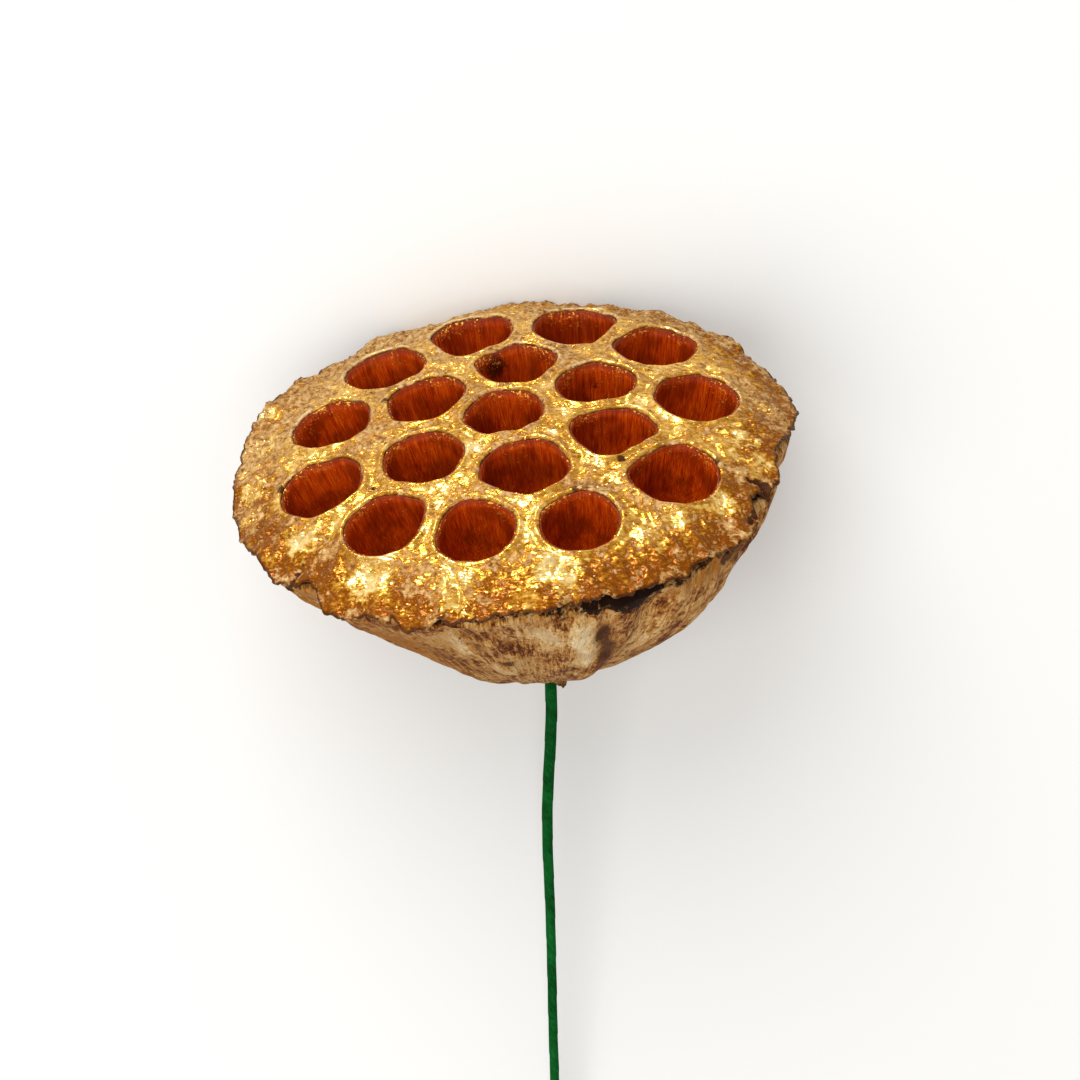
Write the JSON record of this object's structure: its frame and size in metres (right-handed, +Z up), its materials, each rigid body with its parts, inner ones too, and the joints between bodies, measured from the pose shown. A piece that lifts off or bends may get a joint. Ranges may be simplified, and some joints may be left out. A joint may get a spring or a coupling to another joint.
{
  "type": "dried lotus pod",
  "caption": "Gilded dried lotus seed pod with open, empty seed chambers, on a wire stem wrapped in green tape, lying on its rim and the stem's end.",
  "frame": {"origin": "middle of the whole object's footprint, at table height", "axes": "+Z up; the stem runs from the pod's base towards -Y; the pod lies at the +Y end with its face towards +Y and up"},
  "size_m": [0.0908, 0.1836, 0.079],
  "materials": {
    "pod": "dried fibrous pod; face covered with crumpled gold leaf, chambers dark glossy red-brown, underside bare grey-tan skin",
    "stem_wrap": "matte dark green stretched crepe paper tape",
    "stem_core": "plain drawn steel wire, cut end"
  },
  "bodies": {
    "root": {"pod": "pod", "stem_wrap": "stem_wrap", "stem_core": "stem_core"}
  },
  "joints": []
}
